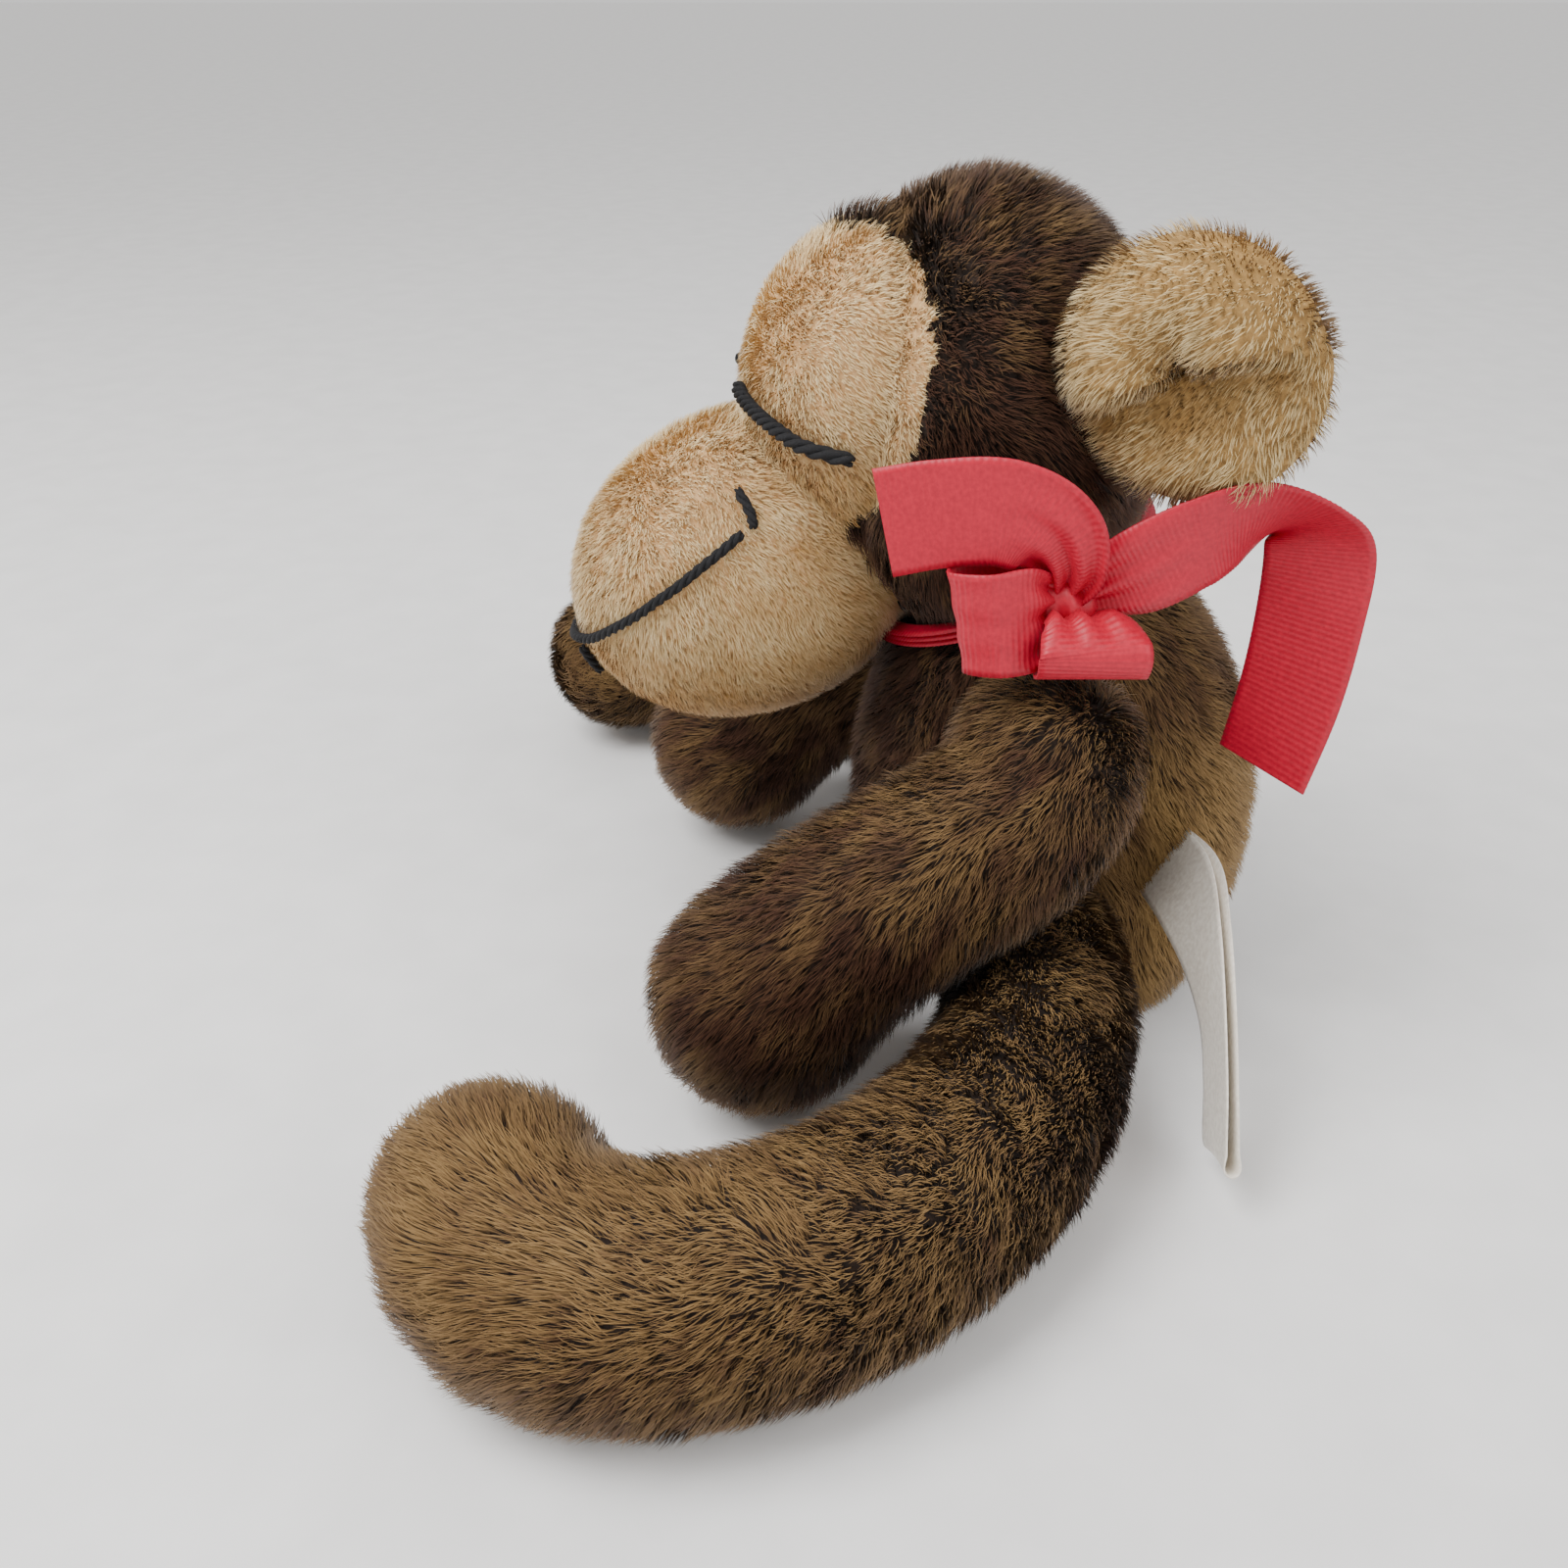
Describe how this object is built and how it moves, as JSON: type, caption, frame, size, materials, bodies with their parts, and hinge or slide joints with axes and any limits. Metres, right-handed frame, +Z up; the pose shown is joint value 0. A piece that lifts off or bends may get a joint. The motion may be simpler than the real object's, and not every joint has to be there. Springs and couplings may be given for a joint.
{
  "type": "seated plush monkey",
  "caption": "Seated plush monkey with closed embroidered eyes, a turning head, disc-jointed arms and legs and a ribbon bow at its neck.",
  "frame": {"origin": "middle of the seat, on the surface that the monkey sits on", "axes": "+Z up, -Y the way the monkey faces, +X its left side"},
  "size_m": [0.2484, 0.1406, 0.142],
  "materials": {
    "brown_plush": "long brown pile with lighter tips",
    "face_plush": "short cream-tan pile",
    "ear_plush": "tan pile",
    "ribbon": "ribbed red ribbon",
    "yarn": "black twisted yarn",
    "label": "off-white satin",
    "filling": "loose polyester filling",
    "board": "hardboard",
    "steel": "zinc plated"
  },
  "bodies": {
    "torso": {"torso_left_panel": "brown_plush", "torso_right_panel": "brown_plush", "torso_stuffing": "filling", "care_label": "label", "left_shoulder_disc": "board", "right_shoulder_disc": "board", "left_hip_disc": "board", "right_hip_disc": "board", "neck_lower_disc": "board", "torso_washers": "steel"},
    "head": {"hood_skin": "brown_plush", "brow_skin": "face_plush", "muzzle_skin": "face_plush", "chin_skin": "face_plush", "head_stuffing": "filling", "left_ear_front": "ear_plush", "left_ear_back": "ear_plush", "right_ear_front": "ear_plush", "right_ear_back": "ear_plush", "left_eye_stitch": "yarn", "right_eye_stitch": "yarn", "mouth_stitch": "yarn", "mouth_corner_stitches": "yarn", "lip_stitches": "yarn", "neck_upper_disc": "board", "neck_bolt": "steel", "neck_locknut": "steel", "ribbon_neckband": "ribbon", "ribbon_knot": "ribbon", "ribbon_front_loop": "ribbon", "ribbon_lower_loop": "ribbon", "ribbon_front_tail": "ribbon", "ribbon_rear_tail": "ribbon"},
    "left_arm": {"left_arm_skin": "brown_plush", "left_arm_stuffing": "filling", "left_arm_disc": "board", "left_arm_bolt": "steel", "left_arm_locknut": "steel"},
    "right_arm": {"right_arm_skin": "brown_plush", "right_arm_stuffing": "filling", "right_arm_disc": "board", "right_arm_bolt": "steel", "right_arm_locknut": "steel"},
    "left_leg": {"left_leg_upper_skin": "brown_plush", "left_leg_middle_skin": "brown_plush", "left_leg_foot_skin": "brown_plush", "left_leg_stuffing": "filling", "left_leg_disc": "board", "left_leg_bolt": "steel", "left_leg_locknut": "steel"},
    "right_leg": {"right_leg_upper_skin": "brown_plush", "right_leg_middle_skin": "brown_plush", "right_leg_foot_skin": "brown_plush", "right_leg_stuffing": "filling", "right_leg_disc": "board", "right_leg_bolt": "steel", "right_leg_locknut": "steel"}
  },
  "joints": [
    {"name": "head_turn", "type": "hinge", "parent": "torso", "child": "head", "pos_m": [0, -0.011, 0.078], "axis": [0, -0.4226, 0.9063], "range_deg": [-20, 20]},
    {"name": "left_arm_swing", "type": "hinge", "parent": "torso", "child": "left_arm", "pos_m": [0.0245, -0.009, 0.06], "axis": [-1, 0, 0], "range_deg": [0, 25]},
    {"name": "right_arm_swing", "type": "hinge", "parent": "torso", "child": "right_arm", "pos_m": [-0.0245, -0.009, 0.06], "axis": [-1, 0, 0], "range_deg": [0, 20]},
    {"name": "left_leg_swing", "type": "hinge", "parent": "torso", "child": "left_leg", "pos_m": [0.0245, -0.007, 0.0185], "axis": [-1, 0, 0], "range_deg": [-80, 25]},
    {"name": "right_leg_swing", "type": "hinge", "parent": "torso", "child": "right_leg", "pos_m": [-0.0245, -0.007, 0.0185], "axis": [-1, 0, 0], "range_deg": [-80, 25]}
  ]
}
